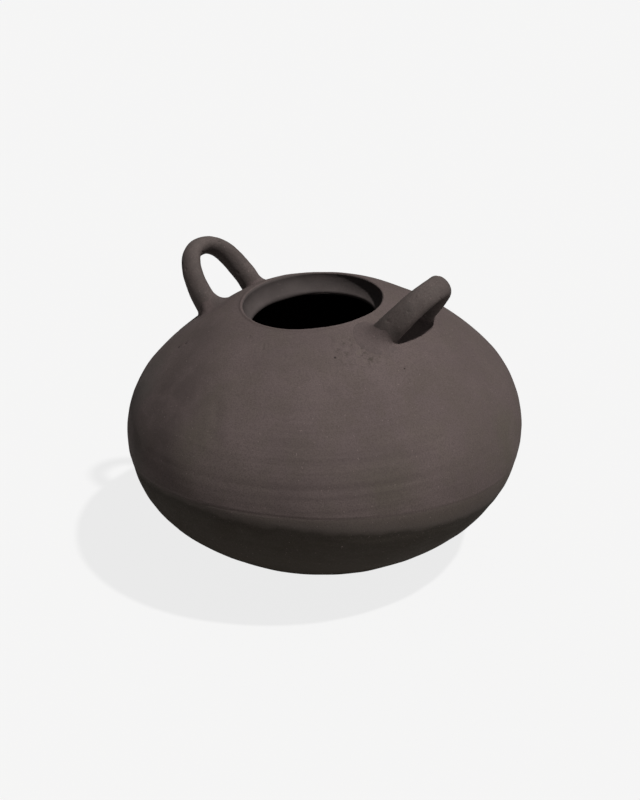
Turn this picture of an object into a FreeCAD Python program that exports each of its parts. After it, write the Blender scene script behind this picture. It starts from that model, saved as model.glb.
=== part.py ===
import FreeCAD, Part
import math
import os
from FreeCAD import Vector

# Black clay olla: a wide, round-bellied pot with an in-turned mouth and two loop handles.
#
# Millimetres, +Z up.  The origin is the centre of the flat base, on the surface the pot stands on.
# +X points over the front handle, and the rear handle stands nearly opposite, towards -X.
#
# The pot is hand built, so each piece of clay that the potter joins is a solid of its own: a lower
# bowl, a belly band, a shoulder wall and a mouth ring, each lapped inside the piece below it, then
# two rolled handles and a luting collar pressed round each of their four feet.

# ---- body ---------------------------------------------------------------------------------------
belly_radius = 160.0       # widest radius of the pot, at the belly line
belly_height = 111.0       # belly line above the base
base_radius = 46.0         # flat patch that the pot stands on
belly_curve = 78.5         # radius of the profile round the belly
shoulder_curve = 193.0     # radius of the flatter profile over the shoulder
foot_curve = 310.0         # radius of the flatter profile down to the base
wall = 8.0                 # wall thickness, square to the surface
floor_thickness = 9.0      # clay between the base and the inside floor

# ---- lapped joints of the body ------------------------------------------------------------------
keel_drop = 22.0           # joint of bowl and belly band, below the belly line
joint_lap = 6.0            # how much lower a joint ends on the inside than on the outside
seat_margin = 12.5         # joint of shoulder wall and mouth ring, outside the lip's crown
seat_lap = 9.0             # how much nearer the axis that joint ends on the inside

# ---- mouth ring ---------------------------------------------------------------------------------
lip_radius = 56.2          # crown of the thin, just rounded lip
lip_height = 219.3         # crown of the lip above the base
lip_raise = 0.3            # how far the lip stands proud of the shoulder's curve
lip_round = 1.5            # half width of the lip
throat_inset = 7.0         # throat edge, where the mouth is narrowest, inside the lip's crown
throat_depth = 15.4        # middle of the throat edge, below the lip's crown
throat_round = 2.5         # rounding of the throat edge
bevel_hollow = 1.6         # how far the bevel between lip and throat is hollowed

# ---- handles ------------------------------------------------------------------------------------
# Each foot is (distance outside the lip's crown, bearing from +X in degrees), left and right as seen
# by someone who faces the handle from outside.  The lean is in degrees from upright.  A squareness
# of 2 makes the arch half an ellipse, and more makes it squarer.
handles = {
    "front_handle": {
        "left_foot": (20.4, -13.1),
        "right_foot": (23.8, 27.0),
        "rise": 45.4,
        "lean": 41.1,
        "squareness": 2.0,
    },
    "rear_handle": {
        "left_foot": (38.5, 162.1),
        "right_foot": (38.5, 196.2),
        "rise": 50.3,
        "lean": 38.5,
        "squareness": 2.4,
    },
}
coil_thickness = 13.2      # rolled coil at the crown, in the plane of the arch
coil_width = 18.6          # rolled coil at the crown, across the arch
foot_swell = 1.18          # how much stouter the coil is at its feet
coil_bury = 6.0            # length of coil that is trimmed away to fit the shoulder
coil_sections = 13         # sections that shape the arch

# ---- luting collars -----------------------------------------------------------------------------
collar_height = 11.0       # smeared clay up the coil
collar_reach = 6.5         # smeared clay out over the shoulder
collar_rim = 0.7           # thickness left at the top of the smear
collar_bury = 0.4          # share of its height that is trimmed away to fit the shoulder
collar_sections = 6        # sections that shape the smear


# ---- profile of the wall ------------------------------------------------------------------------
# An angle on the profile is that of the outward surface normal above the horizontal, in degrees.
# The outside is three arcs that run smoothly into each other, and every surface of the wall shares
# their centres, so the wall keeps its thickness.

def unit(degrees):
    """Unit vector in the profile plane, which is X outward and Z up."""
    return Vector(math.cos(math.radians(degrees)), 0, math.sin(math.radians(degrees)))


def joining_arc(target, curve, side):
    """Centre and start angle of an arc that leaves the belly smoothly and ends at a target point."""
    to_target = target - belly_centre
    reach = curve - belly_curve
    cosine = (reach ** 2 + to_target.Length ** 2 - curve ** 2) / (2 * reach * to_target.Length)
    bearing = math.degrees(math.atan2(to_target.z, to_target.x))
    start = bearing + side * (math.degrees(math.acos(cosine)) - 180)
    return belly_centre - unit(start) * reach, start


belly_centre = Vector(belly_radius - belly_curve, 0, belly_height)
lip_foot = Vector(lip_radius, 0, lip_height - lip_raise)
base_corner = Vector(base_radius, 0, 0)
shoulder_centre, shoulder_start = joining_arc(lip_foot, shoulder_curve, 1)
foot_centre, foot_start = joining_arc(base_corner, foot_curve, -1)
profile_arcs = [
    (foot_centre, foot_curve, -90.0, foot_start),
    (belly_centre, belly_curve, foot_start, shoulder_start),
    (shoulder_centre, shoulder_curve, shoulder_start, 90.0),
]


def wall_point(angle, depth=0.0):
    """Point of the profile at an angle, a depth under the outside."""
    for centre, curve, low, high in profile_arcs:
        if angle <= high:
            return centre + unit(angle) * (curve - depth)


def angle_where(passed, low, high):
    """Angle between low and high at which a test that starts false turns true."""
    for _ in range(60):
        middle = (low + high) / 2
        if passed(middle):
            high = middle
        else:
            low = middle
    return (low + high) / 2


def angle_at_radius(radius, depth=0.0):
    """Angle on the upper half of the profile where the surface has come in to a radius."""
    return angle_where(lambda angle: wall_point(angle, depth).x < radius, 0, 90)


def angle_at_height(height, depth=0.0):
    """Angle where the surface has come up to a height."""
    return angle_where(lambda angle: wall_point(angle, depth).z > height, -90, 90)


def wall_edges(low_angle, high_angle, depth=0.0):
    """Arcs of the profile between two angles, a depth under the outside."""
    edges = []
    for centre, curve, low, high in profile_arcs:
        first = max(low, low_angle)
        last = min(high, high_angle)
        if last > first:
            ends = [centre + unit(angle) * (curve - depth) for angle in (first, (first + last) / 2, last)]
            edges.append(Part.Arc(*ends).toShape())
    return edges


def turned(edges):
    """Solid of revolution about the pot's axis from the edges of a closed outline."""
    outline = Part.Wire(Part.__sortEdges__(edges))
    return Part.Face(outline).revolve(Vector(), Vector(0, 0, 1), 360)


def line(start, end):
    return Part.makeLine(start, end)


# ---- joints between the rings: one slanting line each, shared by the two pieces that meet there ---
lap_angle = math.degrees(joint_lap / (belly_curve - wall))
base_angle = angle_at_height(0)
keel_angle = -math.degrees(math.asin(keel_drop / belly_curve))
belly_angle = 0.0
seat_radius = lip_radius + seat_margin
seat_angle = angle_at_radius(seat_radius)
lip_angle = angle_at_radius(lip_radius)
floor_angle = angle_at_height(floor_thickness, wall)
keel_inner = keel_angle - lap_angle
belly_inner = belly_angle - lap_angle
seat_inner = angle_at_radius(seat_radius - seat_lap, wall)


def joint_line(outer_angle, inner_angle):
    return line(wall_point(outer_angle), wall_point(inner_angle, wall))


def make_lower_bowl():
    """The punched and trimmed bowl: flat base, floor and lower wall."""
    floor_edge = wall_point(floor_angle, wall)
    floor_middle = Vector(0, 0, floor_edge.z)
    corner = wall_point(base_angle)
    base_middle = Vector(0, 0, corner.z)
    edges = wall_edges(base_angle, keel_angle)
    edges += wall_edges(floor_angle, keel_inner, wall)
    edges.append(joint_line(keel_angle, keel_inner))
    edges.append(line(floor_edge, floor_middle))
    edges.append(line(floor_middle, base_middle))
    edges.append(line(base_middle, corner))
    return turned(edges)


def make_wall_ring(lower, lower_inner, upper, upper_inner):
    """A ring of wall between two slanting joints."""
    edges = wall_edges(lower, upper)
    edges += wall_edges(lower_inner, upper_inner, wall)
    edges.append(joint_line(lower, lower_inner))
    edges.append(joint_line(upper, upper_inner))
    return turned(edges)


def make_mouth_ring():
    """The thick coil of the mouth: thin lip, hollowed bevel, soft throat edge, flat underside."""
    shoulder_end_angle = angle_at_radius(lip_radius + lip_round + lip_raise)
    shoulder_end = wall_point(shoulder_end_angle)
    crown = Vector(lip_radius, 0, lip_height)
    bevel_top = crown + Vector(-lip_round, 0, -lip_round)
    throat = Vector(lip_radius - throat_inset + throat_round, 0, lip_height - throat_depth)
    bevel_foot = throat + unit(120) * throat_round
    throat_edge = throat + unit(180) * throat_round
    throat_under = throat + unit(240) * throat_round
    fall = bevel_foot - bevel_top
    into_clay = Vector(-fall.z, 0, fall.x).normalize()
    bevel_middle = (bevel_top + bevel_foot) / 2 + into_clay * bevel_hollow
    edges = wall_edges(seat_angle, shoulder_end_angle)
    edges.append(Part.Arc(shoulder_end, crown, bevel_top).toShape())
    edges.append(Part.Arc(bevel_top, bevel_middle, bevel_foot).toShape())
    edges.append(Part.Arc(bevel_foot, throat_edge, throat_under).toShape())
    edges.append(line(throat_under, wall_point(seat_inner, wall)))
    edges.append(joint_line(seat_angle, seat_inner))
    return turned(edges)


def make_outer_form():
    """Everything under the outside of the pot: what the handles are trimmed to."""
    top = wall_point(lip_angle)
    top_middle = Vector(0, 0, top.z)
    corner = wall_point(base_angle)
    base_middle = Vector(0, 0, corner.z)
    edges = wall_edges(base_angle, lip_angle)
    edges.append(line(top, top_middle))
    edges.append(line(top_middle, base_middle))
    edges.append(line(base_middle, corner))
    return turned(edges)


# ---- handles ------------------------------------------------------------------------------------

def bearing_vector(degrees):
    return Vector(math.cos(math.radians(degrees)), math.sin(math.radians(degrees)), 0)


def shoulder_place(foot):
    """Point on the shoulder and outward normal there, for a foot's (distance, bearing)."""
    distance, bearing = foot
    radius = lip_radius + distance
    angle = angle_at_radius(radius)
    point = bearing_vector(bearing) * radius + Vector(0, 0, wall_point(angle).z)
    slope = unit(angle)
    return point, bearing_vector(bearing) * slope.x + Vector(0, 0, slope.z)


def oval(centre, across, outward, half_width, half_thickness):
    """Closed oval, wide along `across` and thin along `outward`."""
    curve = Part.Ellipse(centre + across * half_width, centre + outward * half_thickness, centre)
    return Part.Wire(curve.toShape())


class Arch:
    """The leaning loop of one handle, from its left foot to its right foot."""

    def __init__(self, left_foot, right_foot, rise, lean, squareness):
        self.feet = [shoulder_place(left_foot), shoulder_place(right_foot)]
        left, right = self.feet[0][0], self.feet[1][0]
        self.middle = (left + right) / 2
        self.along = (right - left).normalize()
        self.half_span = (right - left).Length / 2
        self.rise = rise
        self.squareness = squareness
        outward = Vector(self.along.y, -self.along.x, 0).normalize()
        up = Vector(0, 0, 1) * math.cos(math.radians(lean)) + outward * math.sin(math.radians(lean))
        self.up = (up - self.along * up.dot(self.along)).normalize()
        self.across = self.along.cross(self.up)

    def section(self, turn):
        """Oval of the coil at a turn from 0 at the left foot to 180 at the right foot."""
        cosine = math.cos(math.radians(turn))
        sine = math.sin(math.radians(turn))
        power = 2 / self.squareness
        side = -math.copysign(abs(cosine) ** power, cosine)
        height = abs(sine) ** power
        centre = self.middle + self.along * side * self.half_span + self.up * height * self.rise
        lean_side = math.copysign(abs(side) ** (self.squareness - 1), side) / self.half_span
        lean_up = height ** (self.squareness - 1) / self.rise
        outward = (self.along * lean_side + self.up * lean_up).normalize()
        swell = 1 + (foot_swell - 1) * (1 - height)
        return oval(centre, self.across, outward, coil_width / 2 * swell, coil_thickness / 2 * swell)

    def buried_end(self, side):
        """Oval of the coil below a foot: side is -1 at the left foot and 1 at the right foot."""
        centre = self.middle + self.along * side * self.half_span - self.up * coil_bury
        half_width = coil_width / 2 * foot_swell
        return oval(centre, self.across, self.along * side, half_width, coil_thickness / 2 * foot_swell)

    def coil(self):
        """The whole rolled coil, with ends that run on into the wall."""
        turns = [180 * step / (coil_sections - 1) for step in range(coil_sections)]
        sections = [self.buried_end(-1)] + [self.section(turn) for turn in turns] + [self.buried_end(1)]
        return Part.makeLoft(sections, True, False)

    def collar(self, side):
        """Clay smeared round one foot: wide on the shoulder, hollow-sided, thin at its top."""
        foot, normal = self.feet[0] if side < 0 else self.feet[1]
        half_width = coil_width / 2 * foot_swell
        half_thickness = coil_thickness / 2 * foot_swell
        sections = []
        for step in range(collar_sections):
            share = -collar_bury + (1 + collar_bury) * step / (collar_sections - 1)
            spread = collar_rim + (collar_reach - collar_rim) * (1 - share) ** 1.6
            axis = (normal + (self.up - normal) * max(share, 0)).normalize()
            outward = (self.along - axis * self.along.dot(axis)).normalize() * side
            across = outward.cross(axis) * side
            centre = foot + self.up * share * collar_height
            sections.append(oval(centre, across, outward, half_width + spread, half_thickness + spread))
        return Part.makeLoft(sections, True, False)


# ---- build --------------------------------------------------------------------------------------

def largest_solid(shape):
    """The main solid of a trimmed shape."""
    return max(shape.Solids, key=lambda solid: solid.Volume)


def build():
    """Every piece by name."""
    pieces = {
        "lower_bowl": make_lower_bowl(),
        "belly_band": make_wall_ring(keel_angle, keel_inner, belly_angle, belly_inner),
        "shoulder_wall": make_wall_ring(belly_angle, belly_inner, seat_angle, seat_inner),
        "mouth_ring": make_mouth_ring(),
    }
    body = [make_outer_form(), pieces["mouth_ring"]]
    for name, sizes in handles.items():
        arch = Arch(**sizes)
        coil = arch.coil()
        pieces[name] = largest_solid(coil.cut(body))
        for foot_name, side in (("left", -1), ("right", 1)):
            collar = arch.collar(side).cut(body + [coil])
            pieces[f"{name}_{foot_name}_collar"] = largest_solid(collar)
    return pieces


os.makedirs("parts", exist_ok=True)
for piece_name, piece in build().items():
    piece.exportStep(f"parts/{piece_name}.step")
    print(piece_name, "valid" if piece.isValid() else "NOT VALID", round(piece.Volume / 1e3, 1), "cm3")
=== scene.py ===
import math

import bpy
import numpy as np
from mathutils import Matrix, Vector
from mathutils.bvhtree import BVHTree


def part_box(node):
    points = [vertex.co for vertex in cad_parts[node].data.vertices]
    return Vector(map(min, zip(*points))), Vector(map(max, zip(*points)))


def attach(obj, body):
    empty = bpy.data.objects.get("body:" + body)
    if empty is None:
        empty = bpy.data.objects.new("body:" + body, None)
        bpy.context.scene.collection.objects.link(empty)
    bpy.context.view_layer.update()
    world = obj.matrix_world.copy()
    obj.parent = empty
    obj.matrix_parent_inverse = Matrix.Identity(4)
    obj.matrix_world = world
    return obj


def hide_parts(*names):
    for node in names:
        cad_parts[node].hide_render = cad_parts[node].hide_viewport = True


# Black clay olla, unglazed and hand built.  Everything is in metres, in the CAD frame: +Z up, the
# origin in the middle of the flat base, +X over the front handle.
# Angles on the wall's profile are those of the outward normal above the horizontal, in degrees.
# Bearings run round the pot from +X towards +Y, in degrees.

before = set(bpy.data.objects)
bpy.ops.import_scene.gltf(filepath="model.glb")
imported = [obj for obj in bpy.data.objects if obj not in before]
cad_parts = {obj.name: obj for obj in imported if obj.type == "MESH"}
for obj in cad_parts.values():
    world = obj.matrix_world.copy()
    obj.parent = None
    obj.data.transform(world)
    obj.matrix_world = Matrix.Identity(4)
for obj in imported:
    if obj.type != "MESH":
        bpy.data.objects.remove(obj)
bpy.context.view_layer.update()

MM = 0.001
rng = np.random.default_rng(7)

# ---- sizes from the frame -----------------------------------------------------------------------
belly_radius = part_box("shoulder_wall")[1].x
belly_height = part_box("belly_band")[1].z
keel_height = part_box("lower_bowl")[1].z
lip_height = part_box("mouth_ring")[1].z

# ---- profile of the wall, as in the design ------------------------------------------------------
base_radius = 46.0 * MM
belly_curve = 78.5 * MM
shoulder_curve = 193.0 * MM
foot_curve = 310.0 * MM
wall = 8.0 * MM
floor_thickness = 9.0 * MM
joint_lap = 6.0 * MM
seat_lap = 9.0 * MM
lip_radius = 56.2 * MM
lip_raise = 0.3 * MM
lip_round = 1.5 * MM
seat_radius = lip_radius + 12.5 * MM
throat_radius = lip_radius - 7.0 * MM
throat_depth = 15.4 * MM
throat_round = 2.5 * MM
bevel_hollow = 1.6 * MM

# ---- handles, as in the design: feet are (distance outside the lip, bearing) ---------------------
handles = {
    "front_handle": {
        "left_foot": (20.4 * MM, -13.1),
        "right_foot": (23.8 * MM, 27.0),
        "rise": 45.4 * MM,
        "lean": 41.1,
        "squareness": 2.0,
    },
    "rear_handle": {
        "left_foot": (38.5 * MM, 162.1),
        "right_foot": (38.5 * MM, 196.2),
        "rise": 50.3 * MM,
        "lean": 38.5,
        "squareness": 2.4,
    },
}
coil_thickness = 13.2 * MM
coil_width = 18.6 * MM
foot_swell = 1.18

# ---- fineness of the meshes ---------------------------------------------------------------------
around = 480               # points round each ring of wall
fine_step = 1.15 * MM      # row spacing over the outside
lip_step = 0.5 * MM        # row spacing over lip and bevel
coarse_step = 8.0 * MM     # row spacing inside
hidden_step = 2.0 * MM     # row spacing along the joint under the mouth ring
joint_shares = (0.12, 0.5, 0.88)           # where a joint's rows are, across the wall
base_shares = (0.02, 0.3, 0.6, 0.85)       # where the base's rows are, from its middle outwards
floor_shares = (0.8, 0.5, 0.2, 0.02)       # where the floor's rows are, from its edge inwards


# ---- profile ------------------------------------------------------------------------------------

def unit(degrees):
    """Unit vector in the plane, at an angle in degrees."""
    return np.array([math.cos(math.radians(degrees)), math.sin(math.radians(degrees))])


def joining_arc(target, curve, side):
    """Centre and start angle of an arc that leaves the belly smoothly and ends at a target."""
    to_target = np.array(target) - belly_centre
    distance = np.linalg.norm(to_target)
    reach = curve - belly_curve
    cosine = (reach ** 2 + distance ** 2 - curve ** 2) / (2 * reach * distance)
    bearing = math.degrees(math.atan2(to_target[1], to_target[0]))
    start = bearing + side * (math.degrees(math.acos(cosine)) - 180)
    return belly_centre - unit(start) * reach, start


belly_centre = np.array([belly_radius - belly_curve, belly_height])
shoulder_end = (lip_radius, lip_height - lip_raise)
shoulder_centre, shoulder_start = joining_arc(shoulder_end, shoulder_curve, 1)
foot_centre, foot_start = joining_arc((base_radius, 0.0), foot_curve, -1)


def wall_point(angle, depth=0.0):
    """(radius, height) of the wall at an angle, a depth under the outside."""
    if angle < foot_start:
        return foot_centre + unit(angle) * (foot_curve - depth)
    if angle > shoulder_start:
        return shoulder_centre + unit(angle) * (shoulder_curve - depth)
    return belly_centre + unit(angle) * (belly_curve - depth)


halvings = 50


def angle_where(passed, low, high):
    """Angle between low and high at which a test that starts false turns true."""
    for _ in range(halvings):
        middle = (low + high) / 2
        if passed(middle):
            high = middle
        else:
            low = middle
    return (low + high) / 2


def angle_at_radius(radius, depth=0.0):
    """Angle on the upper half of the wall where it has come in to a radius."""
    return angle_where(lambda angle: wall_point(angle, depth)[0] < radius, 0, 90)


def angle_at_height(height, depth=0.0):
    """Angle where the wall has come up to a height."""
    return angle_where(lambda angle: wall_point(angle, depth)[1] > height, -90, 90)


lap_angle = math.degrees(joint_lap / (belly_curve - wall))
base_angle = angle_at_height(0.0)
keel_angle = angle_at_height(keel_height)
seat_angle = angle_at_radius(seat_radius)
floor_angle = angle_at_height(floor_thickness, wall)
seat_inner = angle_at_radius(seat_radius - seat_lap, wall)


# ---- rows of the profile: (radius, height, normal radius, normal height, angle, skin) -----------
# skin is 1 on the outside, which gets the fine surface, and 0 where the clay is hidden.

def wall_rows(low, high, depth, step, skin):
    """Rows of wall from one angle to another, about a step apart."""
    samples = [wall_point(angle, depth) for angle in np.linspace(low, high, 40)]
    length = sum(np.linalg.norm(b - a) for a, b in zip(samples, samples[1:]))
    count = max(2, int(round(length / step)) + 1)
    facing = 1 if depth == 0 else -1
    rows = []
    for angle in np.linspace(low, high, count):
        rows.append([*wall_point(angle, depth), *(unit(angle) * facing), angle, skin])
    return rows


def arc_points(first, middle, last, step):
    """Points along the arc through three points, without its first point."""
    (ax, ay), (bx, by), (cx, cy) = first, middle, last
    turn = 2 * (ax * (by - cy) + bx * (cy - ay) + cx * (ay - by))
    a2, b2, c2 = ax ** 2 + ay ** 2, bx ** 2 + by ** 2, cx ** 2 + cy ** 2
    centre = np.array([a2 * (by - cy) + b2 * (cy - ay) + c2 * (ay - by),
                       a2 * (cx - bx) + b2 * (ax - cx) + c2 * (bx - ax)]) / turn
    radius = np.linalg.norm(np.array(first) - centre)
    start = math.atan2(ay - centre[1], ax - centre[0])
    sweep = math.atan2(cy - centre[1], cx - centre[0]) - start
    halfway = math.atan2(by - centre[1], bx - centre[0]) - start
    sweep = sweep % (2 * math.pi)
    if halfway % (2 * math.pi) > sweep:
        sweep -= 2 * math.pi
    count = max(2, int(round(abs(sweep) * radius / step)))
    angles = start + sweep * np.arange(1, count + 1) / count
    return [centre + radius * np.array([math.cos(a), math.sin(a)]) for a in angles]


def line_points(first, last, step):
    """Points along a line, without its first point."""
    first, last = np.array(first), np.array(last)
    count = max(1, int(round(np.linalg.norm(last - first) / step)))
    return [first + (last - first) * i / count for i in range(1, count + 1)]


def mouth_rows():
    """Closed outline of the mouth ring: shoulder, lip, bevel, throat edge, underside, joint."""
    lip_start = angle_at_radius(lip_radius + lip_round + lip_raise)
    rows = wall_rows(seat_angle, lip_start, 0.0, fine_step, 1)
    crown = np.array([lip_radius, lip_height])
    bevel_top = crown - lip_round
    throat = np.array([throat_radius + throat_round, lip_height - throat_depth])
    bevel_foot = throat + unit(120) * throat_round
    throat_under = throat + unit(240) * throat_round
    fall = bevel_foot - bevel_top
    into_clay = np.array([-fall[1], fall[0]]) / np.linalg.norm(fall)
    bevel_middle = (bevel_top + bevel_foot) / 2 + into_clay * bevel_hollow
    points = arc_points(rows[-1][:2], crown, bevel_top, lip_step)
    points += arc_points(points[-1], bevel_middle, bevel_foot, lip_step)
    points += arc_points(points[-1], throat + unit(180) * throat_round, throat_under, lip_step)
    showing = len(points)
    inner_end = wall_point(seat_inner, wall)
    points += line_points(points[-1], inner_end, hidden_step)
    points += line_points(inner_end, rows[0][:2], hidden_step)[:-1]
    outline = [np.array(rows[-1][:2])] + points + [np.array(rows[0][:2])]
    for index, point in enumerate(points):
        along = outline[index + 2] - outline[index]
        normal = np.array([along[1], -along[0]]) / np.linalg.norm(along)
        rows.append([*point, *normal, lip_start, 1 if index < showing else 0])
    return rows


def joint_rows(outer_angle, inner_angle):
    """Rows along a joint, from the outside to the inside, without its ends."""
    outer, inner = wall_point(outer_angle), wall_point(inner_angle, wall)
    rows = []
    for share in joint_shares:
        angle = outer_angle + (inner_angle - outer_angle) * share
        rows.append([*(outer + (inner - outer) * share), *unit(angle), angle, 0])
    return rows


def ring_rows(lower, lower_inner, upper, upper_inner):
    """Closed outline of a ring of wall between two joints."""
    rows = wall_rows(lower, upper, 0.0, fine_step, 1)
    rows += joint_rows(upper, upper_inner)
    rows += wall_rows(upper_inner, lower_inner, wall, coarse_step, 0)
    rows += joint_rows(lower, lower_inner)[::-1]
    return rows


def bowl_rows():
    """Open outline of the lower bowl, from the middle of the base to the middle of the floor."""
    rows = [[base_radius * share, 0.0, 0, -1, base_angle, 0] for share in base_shares]
    rows += wall_rows(base_angle, keel_angle, 0.0, fine_step, 1)
    rows += joint_rows(keel_angle, keel_angle - lap_angle)
    rows += wall_rows(keel_angle - lap_angle, floor_angle, wall, coarse_step, 0)
    floor_radius = rows[-1][0]
    for share in floor_shares:
        rows.append([floor_radius * share, floor_thickness, 0, 1, floor_angle, 0])
    return rows


# ---- the hand-made surface ----------------------------------------------------------------------

def smooth(value, low, high):
    """0 below low, 1 above high, eased between."""
    share = np.clip((value - low) / (high - low), 0, 1)
    return share * share * (3 - 2 * share)


def hump(value, centre, width):
    """1 at a centre, falling to 0 on both sides."""
    return np.exp(-((value - centre) / width) ** 2)


def turn_between(bearing, centre):
    """Signed angle from a centre to a bearing, in degrees."""
    return (bearing - centre + 180) % 360 - 180


ripple_peak = 1.6    # how far the sum of waves reaches, in standard deviations


class Ripples:
    """Smooth random field in space: a sum of waves in seeded directions, about -1 to 1."""

    def __init__(self, size, waves=18):
        directions = rng.normal(size=(waves, 3))
        directions /= np.linalg.norm(directions, axis=1)[:, None]
        self.waves = directions * rng.uniform(0.6, 1.6, (waves, 1)) * 2 * math.pi / size
        self.phases = rng.uniform(0, 2 * math.pi, waves)

    def __call__(self, points):
        total = np.sin(points @ self.waves.T + self.phases).sum(axis=1)
        return total / math.sqrt(len(self.phases) / 2) / ripple_peak


hand_wobble = Ripples(150 * MM)
palm_wobble = Ripples(55 * MM)
finger_wobble = Ripples(18 * MM)
thumb_wobble = Ripples(9 * MM)
grit = Ripples(3.4 * MM, 30)


class TiltedLine:
    """A line drawn round the pot in a plane that rises towards one bearing."""

    def __init__(self, height, rise, bearing):
        self.height = height
        self.slope = unit(bearing) * rise / belly_radius

    def above(self, points):
        """How far each point is above the line, straight up."""
        return points[:, 2] - self.height - points[:, :2] @ self.slope


# A faint tool line runs round the belly, and below it the wall was trimmed and left darker.
belly_line = TiltedLine(94 * MM, 19 * MM, -75)
trim_line = TiltedLine(84 * MM, 24 * MM, -100)

# Fine lines left by turning the pot against a wet rib, clearest at one side of the belly.
turning_bearing = -48.0
turning_height = 148 * MM
turning_tilt = 0.4          # share of the belly line's tilt
turning_span = 42           # half width of the clear side, in degrees
line_count = 60
line_heights = rng.uniform(112 * MM, 186 * MM, line_count)
line_widths = rng.uniform(0.9 * MM, 2.2 * MM, line_count)
line_depths = rng.normal(0, 0.07 * MM, line_count)


def turning_lines(points, bearing):
    """Height of the turning lines at each point, in metres."""
    depth = np.zeros(len(points))
    tilted = points[:, 2] - points[:, :2] @ belly_line.slope * turning_tilt
    for centre, width, amount in zip(line_heights, line_widths, line_depths):
        depth += amount * hump(tilted, centre, width)
    strength = 0.2 + 0.8 * hump(turn_between(bearing, turning_bearing), 0, turning_span)
    return depth * strength * (0.35 + 0.65 * hump(tilted, turning_height, 30 * MM))


def wall_place(bearing, height):
    """Point on the outside of the wall at a bearing and height."""
    radius, level = wall_point(angle_at_height(height))
    return np.array([*(unit(bearing) * radius), level])


def distance_to_stroke(points, start, end):
    """How far each point is from the straight stroke between two places."""
    along = end - start
    share = np.clip((points - start) @ along / max(along @ along, 1e-12), 0, 1)
    return np.linalg.norm(points - start - share[:, None] * along, axis=1)


# Dents and scratches: bearing and height of both ends, half width and depth, in degrees and mm.
strokes = [
    (-91.5, 178.0, -89.0, 171.0, 4.5, 0.40),
    (-87.5, 164.0, -86.5, 160.0, 5.0, 0.30),
    (-134.5, 193.9, -134.2, 193.4, 1.3, 0.90),
    (-135.5, 190.4, -136.6, 188.2, 1.2, 0.50),
    (-16.5, 194.3, -16.4, 194.0, 0.9, 0.45),
    (-98.0, 213.6, -96.0, 212.9, 0.9, 0.55),
    (-95.0, 213.0, -93.4, 212.4, 0.9, 0.40),
    (-84.8, 211.4, -84.0, 208.9, 1.0, 0.55),
    (-82.4, 212.2, -82.0, 211.2, 0.8, 0.35),
    (-71.6, 213.1, -70.4, 212.7, 0.8, 0.40),
    (-68.2, 212.9, -67.4, 212.6, 0.8, 0.35),
    (-46.0, 206.6, -44.4, 205.2, 1.0, 0.40),
    (-19.5, 207.0, -17.5, 204.0, 1.5, 0.70),
    (-157.5, 198.2, -157.0, 197.0, 2.4, 1.00),
]

# Small marks at least this deep and at most this wide get painted shade in them, in mm.
shaded_pit_depth = 0.32
shaded_pit_width = 2.5

# Where the clay by the front handle's left foot was left rough: bearing, height and reach.
rough_patches = [(-35.0, 208.5, 17.0), (-25.0, 206.0, 15.0)]
rough_lumps = 0.30 * MM
rough_grit = 0.11 * MM


def stroke_shift(points):
    """Each stroke is a groove with a low ridge of pushed-up clay round it."""
    shift = np.zeros(len(points))
    for bearing_a, height_a, bearing_b, height_b, width, depth in strokes:
        start = wall_place(bearing_a, height_a * MM)
        end = wall_place(bearing_b, height_b * MM)
        away = distance_to_stroke(points, start, end)
        shift -= depth * MM * hump(away, 0, width * MM)
        shift += depth * 0.25 * MM * hump(away, 1.9 * width * MM, 0.7 * width * MM)
    return shift


def rough_shift(points):
    """Crumbly relief of the rough patches."""
    weight = np.zeros(len(points))
    for bearing, height, reach in rough_patches:
        place = wall_place(bearing, height * MM)
        weight += hump(np.linalg.norm(points - place, axis=1), 0, reach * MM)
    relief = rough_lumps * thumb_wobble(points) + rough_grit * grit(points)
    return np.minimum(weight, 1) * relief


# How deep each kind of unevenness of the wall is.
hand_depth = 0.5 * MM
palm_depth = 0.3 * MM
finger_depth = 0.07 * MM
grit_depth = 0.016 * MM
out_of_round = [(0.5 * MM, 2, 0.6), (0.3 * MM, 3, 2.0)]    # depth, lobes and phase
line_wander = 0.5 * MM                                     # how far the two lines stray

# Marks along the two lines, in mm: height, how far over the line, and half width.
belly_line_marks = [(-0.22, -0.9, 1.3), (0.12, 0.9, 1.1)]
trim_line_marks = [(0.05, 2.6, 2.4)]

# Below the trim line the wall steps in, and the trimming blade left shallow bands.
trim_step = 0.35 * MM
step_range = (-6.0 * MM, 2.0 * MM)
band_depth = 0.06 * MM
band_pitch = 1.5 * MM
band_range = (-8.0 * MM, 0.0)


def body_shift(points, bearing, skin):
    """How far the wall stands out from its plain turned shape, in metres."""
    radial = np.radians(bearing)
    shift = hand_depth * hand_wobble(points) + palm_depth * palm_wobble(points)
    shift += sum(depth * np.cos(lobes * radial + phase) for depth, lobes, phase in out_of_round)

    detail = finger_depth * finger_wobble(points) + turning_lines(points, bearing)
    uneven = line_wander * hand_wobble(points)
    over_belly_line = belly_line.above(points) + uneven
    for height, centre, width in belly_line_marks:
        detail += height * MM * hump(over_belly_line, centre * MM, width * MM)
    over_trim_line = trim_line.above(points) + uneven
    detail -= trim_step * (1 - smooth(over_trim_line, *step_range))
    for height, centre, width in trim_line_marks:
        detail += height * MM * hump(over_trim_line, centre * MM, width * MM)
    banded = 1 - smooth(over_trim_line, *band_range)
    detail += band_depth * banded * np.sin(over_trim_line / band_pitch + 2 * palm_wobble(points))

    detail += stroke_shift(points) + rough_shift(points)
    detail += grit_depth * grit(points)
    return shift + detail * skin


# The mouth sits off centre, away from one bearing, and is tipped up towards it and on its far side.
raised_bearing = 38.0
mouth_offset = -4.6 * MM * unit(raised_bearing)
mouth_tilt = 0.021 * unit(raised_bearing) + 0.034 * unit(raised_bearing + 90)
drift_full = lip_radius + 4 * MM        # all of the drift within this radius
drift_none = lip_radius + 36 * MM       # and none beyond this one
drift_height = lip_height - 30 * MM     # and all of it from this height up


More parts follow.
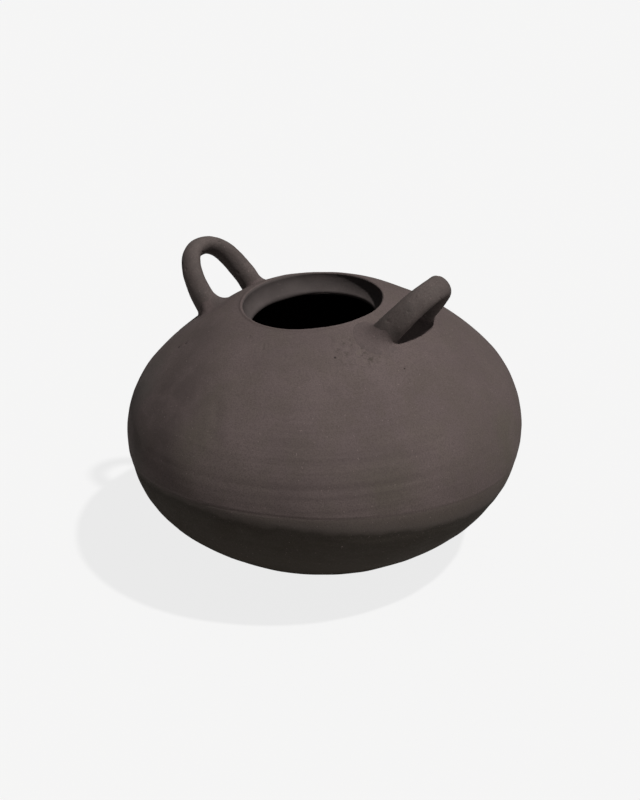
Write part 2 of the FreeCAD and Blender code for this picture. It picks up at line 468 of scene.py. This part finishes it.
def mouth_drift(points):
    """How far each point moves with the mouth."""
    reach = np.hypot(points[:, 0], points[:, 1])
    weight = 1 - smooth(reach, drift_full, drift_none)
    weight = weight * smooth(points[:, 2], belly_height, drift_height)
    drift = np.zeros_like(points)
    drift[:, 0] = mouth_offset[0] * weight
    drift[:, 1] = mouth_offset[1] * weight
    drift[:, 2] = weight * (points[:, 0] * mouth_tilt[0] + points[:, 1] * mouth_tilt[1])
    return drift


# ---- mesh making --------------------------------------------------------------------------------

def make_object(name, vertices, faces):
    """A smooth-shaded mesh object in the scene."""
    mesh = bpy.data.meshes.new(name)
    mesh.from_pydata([tuple(v) for v in vertices], [], faces)
    mesh.polygons.foreach_set("use_smooth", [True] * len(mesh.polygons))
    mesh.update()
    piece = bpy.data.objects.new(name, mesh)
    bpy.context.scene.collection.objects.link(piece)
    return piece


def turned_piece(name, rows, closed):
    """Revolves rows into a closed mesh with the hand-made surface; also gives each point's skin."""
    rows = np.array(rows, float)
    count = len(rows)
    bearing = np.arange(around) * 360 / around
    cosine, sine = np.cos(np.radians(bearing)), np.sin(np.radians(bearing))
    radius, height, normal_r, normal_z, angle, skin = np.repeat(rows, around, axis=0).T
    turn_cos, turn_sin = np.tile(cosine, count), np.tile(sine, count)
    points = np.stack([radius * turn_cos, radius * turn_sin, height], axis=1)
    normals = np.stack([normal_r * turn_cos, normal_r * turn_sin, normal_z], axis=1)
    facing = normal_r * np.cos(np.radians(angle)) + normal_z * np.sin(np.radians(angle))
    outward = np.where(skin > 0, 1, np.sign(facing))
    off_the_base = height > 0.2 * MM
    shift = body_shift(points, np.tile(bearing, count), skin) * outward * off_the_base
    vertices = points + normals * shift[:, None] + mouth_drift(points)
    vertices[:, 2] = np.maximum(vertices[:, 2], 0)
    faces = []
    for row in range(count if closed else count - 1):
        here, above = row * around, ((row + 1) % count) * around
        for step in range(around):
            after = (step + 1) % around
            faces.append((here + step, here + after, above + after, above + step))
    if not closed:
        faces.append(tuple(range(around))[::-1])
        faces.append(tuple((count - 1) * around + step for step in range(around)))
    piece = make_object(name, vertices, faces)
    showing = rows[:, 5] > 0.5
    all_round = np.roll(showing, 1) & np.roll(showing, -1)
    keep_sharp(piece, np.flatnonzero(showing & ~all_round))
    return piece, skin


def keep_sharp(piece, skin_ends):
    """Keeps the edges of the skin sharp, so that no joint shows as a band of shading."""
    edges = piece.data.edges
    ends = np.zeros(len(edges) * 2, int)
    edges.foreach_get("vertices", ends)
    row_of = ends.reshape(-1, 2) // around
    sharp = (row_of[:, 0] == row_of[:, 1]) & np.isin(row_of[:, 0], skin_ends)
    flags = piece.data.attributes.new("sharp_edge", "BOOLEAN", "EDGE")
    flags.data.foreach_set("value", sharp)


# ---- materials ----------------------------------------------------------------------------------

class Nodes:
    """Short calls for building a node tree."""

    def __init__(self, material):
        material.use_nodes = True
        self.tree = material.node_tree
        self.tree.nodes.clear()

    @classmethod
    def of_built(cls, material):
        """The same calls, for a material that has its nodes already."""
        nodes = cls.__new__(cls)
        nodes.tree = material.node_tree
        return nodes

    def add(self, kind, **inputs):
        """A new node with these inputs; an underscore stands for a space."""
        node = self.tree.nodes.new(kind)
        for name, value in inputs.items():
            self.put(node, name, value)
        return node

    def put(self, node, name, value):
        """Links a socket to an input, or sets it to a value."""
        socket = node.inputs[name.replace("_", " ") if isinstance(name, str) else name]
        if isinstance(value, bpy.types.NodeSocket):
            self.tree.links.new(value, socket)
        else:
            socket.default_value = value

    def noise(self, where, scale, detail, roughness=0.55):
        """Cloudy noise, about 0.5; scale is in features to the metre."""
        node = self.add("ShaderNodeTexNoise", Vector=where, Scale=scale, Detail=detail,
                        Roughness=roughness)
        return node.outputs["Fac"]

    def ramp(self, value, low, high, out_low=0.0, out_high=1.0):
        """Eases from one output at low to the other at high."""
        node = self.add("ShaderNodeMapRange", Value=value)
        node.interpolation_type = "SMOOTHSTEP"
        self.put(node, "From_Min", low)
        self.put(node, "From_Max", high)
        self.put(node, "To_Min", out_low)
        self.put(node, "To_Max", out_high)
        return node.outputs["Result"]

    def math(self, operation, first, second):
        """Result of an operation on two numbers."""
        node = self.add("ShaderNodeMath")
        node.operation = operation
        self.put(node, 0, first)
        self.put(node, 1, second)
        return node.outputs[0]

    def times(self, first, second):
        return self.math("MULTIPLY", first, second)

    def plus(self, first, second):
        return self.math("ADD", first, second)

    def vector(self, operation, first, second):
        """Result of a vector operation: a number for DOT_PRODUCT and DISTANCE, else a vector."""
        node = self.add("ShaderNodeVectorMath")
        node.operation = operation
        self.put(node, 0, first)
        self.put(node, 1, tuple(second))
        return node.outputs["Value" if operation in ("DOT_PRODUCT", "DISTANCE") else "Vector"]

    def near(self, where, place, reach, soft=0.6):
        """1 at a place, fading to 0 at a reach from it."""
        return self.ramp(self.vector("DISTANCE", where, place), reach * (1 - soft), reach, 1.0, 0.0)

    def above_line(self, where, line):
        """How far above a tilted line."""
        level = self.vector("DOT_PRODUCT", where, (-line.slope[0], -line.slope[1], 1.0))
        return self.math("SUBTRACT", level, line.height)

    def mix(self, factor, first, second):
        """A colour between two others."""
        node = self.add("ShaderNodeMix")
        node.data_type = "RGBA"
        self.put(node, 0, factor)
        self.put(node, 6, first)
        self.put(node, 7, second)
        return node.outputs[2]


def shade(colour, amount):
    """A colour made lighter or darker, with its alpha."""
    return (colour[0] * amount, colour[1] * amount, colour[2] * amount, 1.0)


clay_colour = (0.1030, 0.0795, 0.0765)
olive_colour = (0.0850, 0.0725, 0.0590)
ash_colour = (0.0780, 0.0715, 0.0665)
trimmed_colour = (0.0400, 0.0340, 0.0262)
bevel_colour = (0.0660, 0.0555, 0.0535)
handle_colour = (0.0930, 0.0760, 0.0710)
# painted shade: near-black clay for the inside, where the hollow is only shadow
painted_inside_shade_colour = (0.0060, 0.0030, 0.0030)
# painted shade: a darkened clay tone, laid in patches over the flanks
painted_shade_colour = shade(clay_colour, 0.60)
clay_gloss = 0.16       # specular level of the clay
painted_inside_shade_gloss = 0.12      # and of the near-black inside, which is painted shade
grain_bump = 0.0005     # height of the finest grain, in metres

# Cloudy patches on the wall: bearing, height, reach and strength. Those in the darkened clay tone
# are painted shade, mostly over the left flank; the olive and ash ones the firing left.
firing_and_shade_patches = [
    (painted_shade_colour, [(-112, 172, 62, 0.80), (-104, 140, 40, 0.55), (-128, 200, 40, 0.55),
                   (48, 150, 46, 0.45)]),
    (olive_colour, [(-93, 150, 34, 0.75), (-92, 180, 26, 0.5), (-36, 133, 34, 0.7),
                    (10, 122, 42, 0.75), (105, 140, 60, 0.6)]),
    (ash_colour, [(-137, 158, 40, 0.8), (-121, 120, 34, 0.5), (160, 110, 60, 0.7),
                  (60, 70, 40, 0.4)]),
]


def grain_colour(nodes, place, colour, grain):
    """Fine grit: a dark pepper and, far fewer, pale flecks of temper."""
    specks = nodes.noise(place, 950.0, 2.0)
    coarse = nodes.noise(place, 420.0, 2.0)
    flecks = nodes.noise(place, 620.0, 1.0)
    layers = [(specks, 0.42, 0.66, 0.42, 0.55), (coarse, 0.50, 0.75, 0.22, 0.60),
              (flecks, 0.70, 0.80, 0.50, 1.90)]
    for field, low, high, strength, tone in layers:
        amount = nodes.ramp(field, low, high, 0.0, strength * grain)
        colour = nodes.mix(amount, colour, shade(clay_colour, tone))
    return colour, specks, coarse


def dull_shader(nodes, colour, height, roughness, gloss):
    """Dull surface of a colour, with fine relief."""
    bump = nodes.add("ShaderNodeBump", Height=height, Strength=0.30, Distance=grain_bump)
    shader = nodes.add("ShaderNodeBsdfPrincipled", Roughness=roughness)
    nodes.put(shader, "Normal", bump.outputs["Normal"])
    nodes.put(shader, "Base_Color", colour)
    shader.inputs["Specular IOR Level"].default_value = gloss
    nodes.add("ShaderNodeOutputMaterial", Surface=shader.outputs[0])


def finish_clay(nodes, colour, specks, coarse, mottles, extra_height):
    """Slightly gritty clay under a colour, with coarser relief on top."""
    height = nodes.plus(nodes.times(specks, 0.5), nodes.times(coarse, 0.6))
    height = nodes.plus(height, extra_height)
    dull_shader(nodes, colour, height, nodes.ramp(mottles, 0.3, 0.7, 0.80, 0.94), clay_gloss)


def cloudy(nodes, clouds, tint, low, dark, light):
    """A tint that drifts between a darker and a lighter tone of itself."""
    return nodes.mix(nodes.ramp(clouds, low, 1 - low), shade(tint, dark), shade(tint, light))


def wall_material(name):
    """Unglazed wall: cloudy purple-brown with fired patches, darker where it was trimmed; with
    painted shade in patches, in pits and under the trimmed edge, and painted light lower down.
    """
    material = bpy.data.materials.new(name)
    nodes = Nodes(material)
    place = nodes.add("ShaderNodeTexCoord").outputs["Object"]
    clouds = nodes.noise(place, 11.0, 4.0)
    mottles = nodes.noise(place, 48.0, 4.0)
    colour = cloudy(nodes, clouds, clay_colour, 0.34, 0.90, 1.08)
    freckled = nodes.ramp(mottles, 0.38, 0.68, 0.0, 0.30)
    colour = nodes.mix(freckled, colour, shade(olive_colour, 1.02))
    # olive and ash patches left by the firing, and patches of painted shade in the darkened tone
    for tint, patches in firing_and_shade_patches:
        for bearing, height, reach, strength in patches:
            spot = nodes.near(place, wall_place(bearing, height * MM), reach * MM, 0.85)
            broken = nodes.times(spot, nodes.ramp(mottles, 0.30, 0.62, 0.35, strength))
            colour = nodes.mix(broken, colour, shade(tint, 1.0))

    # streaks of the wet rib, round the pot, clearest on one side
    stretch = nodes.add("ShaderNodeMapping", Vector=place, Scale=(5.0, 5.0, 330.0))
    stretch.inputs["Rotation"].default_value = (0.045, 0.03, 0)
    streaks = nodes.noise(stretch.outputs["Vector"], 1.0, 3.0)
    wiped = nodes.near(place, wall_place(turning_bearing, 146 * MM), 105 * MM, 0.8)
    amount = nodes.times(nodes.ramp(streaks, 0.42, 0.68), nodes.times(wiped, 0.34))
    colour = nodes.mix(amount, colour, shade(clay_colour, 0.74))
    pale = nodes.times(nodes.ramp(streaks, 0.52, 0.34), nodes.times(wiped, 0.18))
    colour = nodes.mix(pale, colour, shade(clay_colour, 1.3))

    # below the belly line the wall is a little duller, and below the trimmed edge it is dark; just
    # under that edge lies a streak of painted shade, and lower down a band of painted light from
    # below
    wander = nodes.ramp(mottles, 0.3, 0.7, -0.0011, 0.0011)
    over_belly = nodes.plus(nodes.above_line(place, belly_line), wander)
    duller = nodes.ramp(over_belly, -0.0030, 0.0006, 0.55, 0.0)
    colour = nodes.mix(duller, colour, shade(olive_colour, 0.82))
    thin = nodes.times(nodes.ramp(over_belly, -0.0004, 0.0006),
                       nodes.ramp(over_belly, 0.0028, 0.0008))
    colour = nodes.mix(nodes.times(thin, 0.22), colour, shade(clay_colour, 1.25))
    over_trim = nodes.plus(nodes.above_line(place, trim_line), nodes.times(wander, 1.5))
    fading = nodes.ramp(over_trim, -0.0015, 0.0100, 0.34, 0.0)
    colour = nodes.mix(fading, colour, shade(ash_colour, 0.60))
    trimmed = nodes.ramp(over_trim, -0.0045, 0.0022, 1.0, 0.0)
    colour = nodes.mix(trimmed, colour, shade(trimmed_colour, 0.92))
    # painted shade: a darker streak just under the trimmed edge
    shade_under_trim = nodes.times(nodes.ramp(over_trim, -0.0120, -0.0040),
                          nodes.ramp(over_trim, -0.0010, -0.0032))
    colour = nodes.mix(nodes.times(shade_under_trim, 0.45), colour, shade(trimmed_colour, 0.62))
    # painted light: the lower wall made paler, as if lit from the floor
    lower = nodes.ramp(over_trim, -0.055, -0.020, 0.5, 0.0)
    lighter = nodes.times(lower, nodes.ramp(mottles, 0.35, 0.65))
    colour = nodes.mix(lighter, colour, shade(trimmed_colour, 1.35))

    colour, specks, coarse = grain_colour(nodes, place, colour, 1.0)

    # painted shade in the pits, and darker and paler crumbs over the rough smear
    for bearing_a, height_a, bearing_b, height_b, width, depth in strokes:
        if depth < shaded_pit_depth or width > shaded_pit_width:
            continue
        middle = (wall_place(bearing_a, height_a * MM) + wall_place(bearing_b, height_b * MM)) / 2
        # painted shade: the clay darkened inside each small pit
        pit_shade = nodes.near(place, middle, width * 1.3 * MM, 0.6)
        colour = nodes.mix(nodes.times(pit_shade, 0.85), colour, shade(clay_colour, 0.16))
    crumbs = nodes.noise(place, 210.0, 4.0, 0.7)
    relief = 0.0
    for bearing, height, reach in rough_patches:
        zone = nodes.near(place, wall_place(bearing, height * MM), reach * 1.35 * MM, 0.7)
        for low, high, strength, tone in ((0.50, 0.66, 0.55, 0.52), (0.46, 0.34, 0.25, 1.35)):
            amount = nodes.times(zone, nodes.ramp(crumbs, low, high, 0.0, strength))
            colour = nodes.mix(amount, colour, shade(olive_colour, tone))
        relief = nodes.plus(relief, nodes.times(zone, nodes.times(crumbs, 1.6)))
    finish_clay(nodes, colour, specks, coarse, mottles, relief)
    return material


def mouth_material(name):
    """The wall's clay, turning greyer inside the lip."""
    material = wall_material(name)
    nodes = Nodes.of_built(material)
    shader = next(node for node in nodes.tree.nodes if node.type == "BSDF_PRINCIPLED")
    colour = shader.inputs["Base Color"].links[0].from_socket
    place = nodes.add("ShaderNodeTexCoord").outputs["Object"]
    flat = nodes.vector("MULTIPLY", place, (1, 1, 0))
    inside = nodes.near(flat, (*mouth_offset, 0.0), lip_radius - 0.3 * MM, 0.02)
    cloud = nodes.noise(place, 60.0, 3.0)
    grey = cloudy(nodes, cloud, bevel_colour, 0.3, 0.88, 1.08)
    grey, _, _ = grain_colour(nodes, place, grey, 0.6)
    nodes.put(shader, "Base_Color", nodes.mix(inside, colour, grey))
    return material


def coil_material(name, tint):
    """Clay worked with the fingers: mottled, with hair cracks and small pits darkened with painted
    shade.
    """
    material = bpy.data.materials.new(name)
    nodes = Nodes(material)
    place = nodes.add("ShaderNodeTexCoord").outputs["Object"]
    clouds = nodes.noise(place, 34.0, 4.0)
    mottles = nodes.noise(place, 120.0, 4.0)
    colour = cloudy(nodes, clouds, tint, 0.34, 0.88, 1.10)
    colour = nodes.mix(nodes.ramp(mottles, 0.45, 0.70, 0.0, 0.35), colour, shade(ash_colour, 0.86))
    colour, specks, coarse = grain_colour(nodes, place, colour, 1.1)
    pits = nodes.add("ShaderNodeTexVoronoi", Vector=place, Scale=230.0).outputs["Distance"]
    # painted shade: the small pits are darkened as well as sunk
    rare = nodes.times(nodes.ramp(pits, 0.13, 0.05), nodes.ramp(mottles, 0.52, 0.60))
    colour = nodes.mix(nodes.times(rare, 0.75), colour, shade(clay_colour, 0.20))
    finish_clay(nodes, colour, specks, coarse, mottles, nodes.times(rare, -0.8))
    return material


def painted_inside_shade_material():
    """Inside of the pot: painted shade, a near-black clay that keeps the hollow as dark as shadow.
    """
    material = bpy.data.materials.new("painted_inside_shade_black_clay")
    nodes = Nodes(material)
    place = nodes.add("ShaderNodeTexCoord").outputs["Object"]
    clouds = nodes.noise(place, 18.0, 4.0)
    specks = nodes.noise(place, 900.0, 2.0)
    colour = cloudy(nodes, clouds, painted_inside_shade_colour, 0.3, 0.8, 1.6)
    dull_shader(nodes, colour, specks, nodes.ramp(clouds, 0.3, 0.7, 0.88, 0.96), painted_inside_shade_gloss)
    return material


# ---- the body -----------------------------------------------------------------------------------

def dress(piece, node, slot, *materials):
    """Puts a piece in its node's place, on the pot's one body, with its materials."""
    for material in materials:
        piece.data.materials.append(material)
    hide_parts(node)
    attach(piece, "root")


def mark_inside(piece, skin):
    """Gives the faces that are not on the outside the second material."""
    inside = skin < 0.5
    for face in piece.data.polygons:
        face.material_index = 1 if all(inside[v] for v in face.vertices) else 0


# Each ring of wall: its rows, whether their outline is closed, its slot and its material.
body_pieces = {
    "lower_bowl": (bowl_rows(), False, "trimmed_clay", wall_material),
    "belly_band": (ring_rows(keel_angle, keel_angle - lap_angle, 0.0, -lap_angle), True,
                   "belly_clay", wall_material),
    "shoulder_wall": (ring_rows(0.0, -lap_angle, seat_angle, seat_inner), True,
                      "shoulder_clay", wall_material),
    "mouth_ring": (mouth_rows(), True, "mouth_clay", mouth_material),
}
# the hidden inside faces get painted shade: near-black clay
painted_inside_shade = painted_inside_shade_material()
body = {}
for node, (rows, closed, slot, material) in body_pieces.items():
    body[node], skin = turned_piece(node + "_clay", rows, closed)
    dress(body[node], node, slot, material(slot), painted_inside_shade)
    mark_inside(body[node], skin)


def join_tree(pieces):
    """One tree of every face of these pieces, to lay other clay onto them."""
    vertices, faces = [], []
    for piece in pieces:
        start = len(vertices)
        vertices += [vertex.co.copy() for vertex in piece.data.vertices]
        faces += [tuple(start + index for index in face.vertices) for face in piece.data.polygons]
    return BVHTree.FromPolygons(vertices, faces)


body_tree = join_tree([body["shoulder_wall"], body["mouth_ring"]])
clear_height = 0.5      # higher than any of the clay


def on_body(point):
    """Where a vertical line through a point meets the outside of the pot, and the normal there."""
    above = Vector((point[0], point[1], clear_height))
    place, normal, _, _ = body_tree.ray_cast(above, Vector((0, 0, -1)))
    if normal.z < 0:
        normal = -normal
    return np.array(place), np.array(normal)


# ---- the handles --------------------------------------------------------------------------------

def length_one(vector):
    """The same direction, of length 1."""
    return vector / np.linalg.norm(vector)


def bearing_vector(degrees):
    """Level unit vector towards a bearing."""
    return np.array([*unit(degrees), 0.0])


class Arch:
    """The leaning loop of one handle, from its left foot to its right foot."""

    def __init__(self, left_foot, right_foot, rise, lean, squareness):
        places = []
        for distance, bearing in (left_foot, right_foot):
            radius = lip_radius + distance
            height = wall_point(angle_at_radius(radius))[1]
            places.append(bearing_vector(bearing) * radius + np.array([0, 0, height]))
        self.feet = places
        self.middle = (places[0] + places[1]) / 2
        self.along = length_one(places[1] - places[0])
        self.half_span = np.linalg.norm(places[1] - places[0]) / 2
        self.rise = rise
        self.squareness = squareness
        outward = length_one(np.array([self.along[1], -self.along[0], 0]))
        up = np.array([0, 0, math.cos(math.radians(lean))]) + outward * math.sin(math.radians(lean))
        self.up = length_one(up - self.along * up.dot(self.along))
        self.across = np.cross(self.along, self.up)

    def centre(self, turn):
        """Centre, outward direction and share of the rise at a turn from 0 to 180 along the coil.

        Past either end the coil runs on straight down, a millimetre for each degree.
        """
        bounded = min(max(turn, 0.0), 180.0)
        cosine, sine = math.cos(math.radians(bounded)), math.sin(math.radians(bounded))
        power = 2 / self.squareness
        side = -math.copysign(abs(cosine) ** power, cosine)
        height = abs(sine) ** power
        centre = self.middle + self.along * side * self.half_span + self.up * height * self.rise
        below = max(-turn, turn - 180.0, 0.0) * MM
        centre = centre - self.up * below
        lean_side = math.copysign(abs(side) ** (self.squareness - 1), side) / self.half_span
        lean_up = height ** (self.squareness - 1) / self.rise
        outward = length_one(self.along * lean_side + self.up * lean_up)
        return centre, outward, height


coil_rings = 240
coil_around = 96
coil_lumps = Ripples(34 * MM)
coil_dimples = Ripples(11 * MM)
lump_depth = 0.32 * MM
dimple_depth = 0.09 * MM
coil_grit = 0.02 * MM

# Turns of the coil's rings, with a buried stretch below each foot.
coil_turns = [-6.0, *np.linspace(-0.01, 180.01, coil_rings), 186.0]

# Small cracks and pits across the coils: how many, and their largest length.
crack_counts = {"front_handle": 46, "rear_handle": 18}
crack_length = 3.4 * MM


def make_coil(name, arch, cracks):
    """A rolled coil of clay: oval, stouter at its feet, with the lumps that fingers leave."""
    vertices = []
    for turn in coil_turns:
        centre, outward, height = arch.centre(turn)
        swell = 1 + (foot_swell - 1) * (1 - height)
        for step in range(coil_around):
            phase = 2 * math.pi * step / coil_around
            across = arch.across * math.cos(phase) * coil_width / 2 * swell
            off = outward * math.sin(phase) * coil_thickness / 2 * swell
            vertices.append(centre + across + off)
    vertices = np.array(vertices)
    centres = np.repeat([arch.centre(turn)[0] for turn in coil_turns], coil_around, axis=0)
    outward = vertices - centres
    outward /= np.linalg.norm(outward, axis=1)[:, None]
    lumps = lump_depth * coil_lumps(vertices) + dimple_depth * coil_dimples(vertices)
    lumps += coil_grit * grit(vertices)
    for _ in range(cracks):
        middle = vertices[rng.integers(len(vertices))]
        heading = rng.normal(size=3)
        heading *= rng.uniform(0.15, 0.5) * crack_length / np.linalg.norm(heading)
        away = distance_to_stroke(vertices, middle - heading, middle + heading)
        lumps -= rng.uniform(0.25, 0.55) * MM * hump(away, 0, rng.uniform(0.55, 0.9) * MM)
    vertices = vertices + outward * lumps[:, None]
    faces = []
    for ring in range(len(coil_turns) - 1):
        for step in range(coil_around):
            here = ring * coil_around + step
            after = ring * coil_around + (step + 1) % coil_around
            faces.append((here, here + coil_around, after + coil_around, after))
    last = (len(coil_turns) - 1) * coil_around
    faces.append(tuple(range(coil_around)))
    faces.append(tuple(last + step for step in range(coil_around))[::-1])
    return make_object(name, vertices, faces)


collar_around = 160
collar_rows = 34
collar_lift = 0.10 * MM     # how far a collar stands off its curve
edge_depth = 0.30 * MM      # how far its edge is pressed into the shoulder
edge_run = 1.5 * MM         # and over which distance
root_depth = 2.0 * MM       # how deep its hidden rim is
smear_wobble = Ripples(20 * MM)
smear_dabs = Ripples(7 * MM)
smear_depth = 0.35 * MM
dab_depth = 0.16 * MM
smear_grit = 0.03 * MM

# Each collar, in mm: plain reach and climb, then lobes where the thumb dragged the clay further out
# over the shoulder: bearing from the foot, extra reach, half width in degrees, share that climbs.
smears = {
    "front_handle_left_collar": (5.0, 8.0, [(-142, 13.0, 48, 0.55), (-80, 7.0, 40, 0.35)]),
    "front_handle_right_collar": (4.5, 7.0, [(60, 6.0, 50, 0.5), (-20, 2.0, 40, 0.3)]),
    "rear_handle_left_collar": (3.0, 5.0, [(35, 9.0, 42, 0.8), (150, 4.0, 50, 0.5)]),
    "rear_handle_right_collar": (2.6, 5.0, [(5, 15.0, 44, 0.75), (-60, 9.0, 30, 0.5)]),
}


def make_collar(name, arch, side, coil_tree, reach, climb, lobes):
    """Clay smeared from a coil's foot onto the shoulder: a hollow fillet with an uneven edge."""
    foot = arch.feet[0] if side < 0 else arch.feet[1]
    columns = []
    for step in range(collar_around):
        phase = 2 * math.pi * step / collar_around
        level = arch.across * math.cos(phase) + arch.along * side * math.sin(phase)
        bearing = math.degrees(math.atan2(level[1], level[0]))
        uneven = 1 + 0.16 * smear_wobble(np.array([foot + level * 15 * MM]))[0]
        far, high = reach * MM, climb * MM
        for lobe_bearing, extra, width, climbing in lobes:
            weight = hump(turn_between(bearing, lobe_bearing), 0, width)
            far += extra * weight * MM
            high += extra * weight * climbing * MM
        far *= uneven
        high *= 2 - uneven
        top = coil_side(coil_tree, foot + arch.up * high, level)
        crease, _ = on_body(coil_side(coil_tree, foot + arch.up * 1 * MM, level))
        flat = length_one(np.array([level[0], level[1], 0.0]))
        edge, edge_normal = on_body(crease + flat * far)
        past_edge, _ = on_body(edge + flat * edge_run)
        buried_top = top + arch.up * 1.5 * MM - level * 0.8 * MM
        column = [buried_top - level * 2 * MM, buried_top]
        for share in np.linspace(0, 1, collar_rows):
            point = top * (1 - share) ** 2 + crease * 2 * share * (1 - share) + edge * share ** 2
            column.append(point + edge_normal * collar_lift)
        column.append(past_edge - edge_normal * edge_depth)
        column.append(past_edge - edge_normal * root_depth)
        columns.append(column)
    columns = np.array(columns)
    ring_count = columns.shape[1]
    vertices = columns.reshape(-1, 3)
    share = np.tile(np.arange(ring_count) / (ring_count - 1), collar_around)
    middle = hump(share, 0.5, 0.28)
    lift = smear_depth * smear_wobble(vertices) + dab_depth * smear_dabs(vertices)
    lift += smear_grit * grit(vertices)
    normal = np.array(arch.up) * 0.7 + length_one(arch.middle * np.array([1, 1, 0])) * 0.3
    vertices = vertices + normal * (lift * middle)[:, None]
    faces = []
    for step in range(collar_around):
        after = (step + 1) % collar_around
        for row in range(ring_count - 1):
            here, there = step * ring_count + row, after * ring_count + row
            faces.append((here, here + 1, there + 1, there))
    faces.append(tuple(step * ring_count for step in range(collar_around)))
    faces.append(tuple(step * ring_count + ring_count - 1 for step in range(collar_around))[::-1])
    return make_object(name, vertices, faces)


def coil_side(coil_tree, inside, level):
    """Where the coil's surface is, out along a level direction from a point inside it."""
    hit = coil_tree.ray_cast(Vector(inside + level * 40 * MM), Vector(-level))[0]
    return np.array(hit if hit is not None else inside + level * coil_thickness / 2)


handle_clay = coil_material("handle_clay", handle_colour)
smear_clay = coil_material("smeared_clay", clay_colour)
for node, handle in handles.items():
    arch = Arch(**handle)
    coil = make_coil(node + "_coil", arch, crack_counts[node])
    dress(coil, node, "handle_clay", handle_clay)
    coil_tree = join_tree([coil])
    for foot_name, side in (("left", -1), ("right", 1)):
        collar_node = f"{node}_{foot_name}_collar"
        collar = make_collar(collar_node + "_smear", arch, side, coil_tree, *smears[collar_node])
        dress(collar, collar_node, "smeared_clay", smear_clay)


# ---- floor, light and camera --------------------------------------------------------------------

floor_half = 7.0
floor_glow = 0.815      # evens out the floor's tone
floor_pale = (0.09, 0.09, 0.09, 1)
floor_matte = (0.42, 0.41, 0.40, 1)     # what lights the pot from below
backdrop_glow = 0.913
sky_glow = 0.075
sky_colour = (1.0, 0.99, 0.98, 1)
white = (1, 1, 1, 1)


def make_floor():
    """Plain pale floor: even in tone, with a light shadow, and dull enough not to flood the pot."""
    half = floor_half
    corners = [(-half, -half, 0), (half, -half, 0), (half, half, 0), (-half, half, 0)]
    floor = make_object("floor", corners, [(0, 1, 2, 3)])
    material = bpy.data.materials.new("pale_floor")
    nodes = Nodes(material)
    seen = nodes.add("ShaderNodeLightPath").outputs["Is Camera Ray"]
    matte = nodes.add("ShaderNodeBsdfDiffuse", Color=floor_matte)
    pale = nodes.add("ShaderNodeBsdfDiffuse", Color=floor_pale)
    glow = nodes.add("ShaderNodeEmission", Color=white, Strength=floor_glow)
    lit = nodes.add("ShaderNodeAddShader")
    nodes.put(lit, 0, pale.outputs[0])
    nodes.put(lit, 1, glow.outputs[0])
    both = nodes.add("ShaderNodeMixShader")
    nodes.put(both, 0, seen)
    nodes.put(both, 1, matte.outputs[0])
    nodes.put(both, 2, lit.outputs[0])
    nodes.add("ShaderNodeOutputMaterial", Surface=both.outputs[0])
    floor.data.materials.append(material)


def make_world():
    """Pale backdrop, with only a little light from it."""
    world = bpy.data.worlds.new("studio")
    bpy.context.scene.world = world
    nodes = Nodes(world)
    path = nodes.add("ShaderNodeLightPath")
    seen = nodes.add("ShaderNodeBackground", Color=white, Strength=backdrop_glow)
    soft = nodes.add("ShaderNodeBackground", Color=sky_colour, Strength=sky_glow)
    both = nodes.add("ShaderNodeMixShader")
    nodes.put(both, 0, path.outputs["Is Camera Ray"])
    nodes.put(both, 1, soft.outputs[0])
    nodes.put(both, 2, seen.outputs[0])
    nodes.add("ShaderNodeOutputWorld", Surface=both.outputs[0])


def make_sun(name, bearing, elevation, strength, softness, colour):
    """A lamp far away in a direction; softness is the angle that it spans, in degrees."""
    light = bpy.data.lights.new(name, "SUN")
    light.energy = strength
    light.angle = math.radians(softness)
    light.color = colour
    lamp = bpy.data.objects.new(name, light)
    level, high = unit(elevation)
    towards = Vector((*(unit(bearing) * level), high))
    lamp.rotation_euler = towards.to_track_quat("Z", "Y").to_euler()
    bpy.context.scene.collection.objects.link(lamp)


# The camera is at bearing -52, 26 degrees up, a little rolled.
camera_azimuth = 38.0
camera_elevation = 26.0
camera_roll = 2.8
camera_distance = 8 * belly_radius
camera_lens = 70.6
camera_sensor = 36
aim_shift = (-0.0053, 0.0285)


def view_axes():
    """Right, up and backward directions of the level camera."""
    a, e = math.radians(camera_azimuth), math.radians(camera_elevation)
    back = Vector((math.sin(a) * math.cos(e), -math.cos(a) * math.cos(e), math.sin(e)))
    right = Vector((math.cos(a), math.sin(a), 0))
    return right, back.cross(right), back


def make_camera():
    """Sets the scene's camera, aimed at the middle of the belly."""
    right, up, back = view_axes()
    data = bpy.data.cameras.new("camera")
    data.lens = camera_lens
    data.sensor_width = camera_sensor
    data.sensor_fit = "AUTO"
    data.shift_x, data.shift_y = aim_shift
    camera = bpy.data.objects.new("camera", data)
    roll = Matrix.Rotation(math.radians(-camera_roll), 3, "Z")
    turn = Matrix((right, up, back)).transposed() @ roll
    place = Vector((0, 0, belly_height)) + back * camera_distance
    camera.matrix_world = Matrix.Translation(place) @ turn.to_4x4()
    bpy.context.scene.collection.objects.link(camera)
    bpy.context.scene.camera = camera


# Lamps: name, bearing, elevation, strength, softness and colour.
lamps = [
    ("key", 2.0, 60.0, 3.70, 2.5, (1.0, 0.985, 0.97)),
    ("fill", -40.0, 15.0, 0.20, 40.0, (1, 1, 1)),
    ("back_fill", 150.0, 30.0, 0.12, 40.0, (1, 1, 1)),
]

make_floor()
make_world()
for lamp in lamps:
    make_sun(*lamp)
make_camera()
bpy.context.scene.view_settings.view_transform = "Standard"
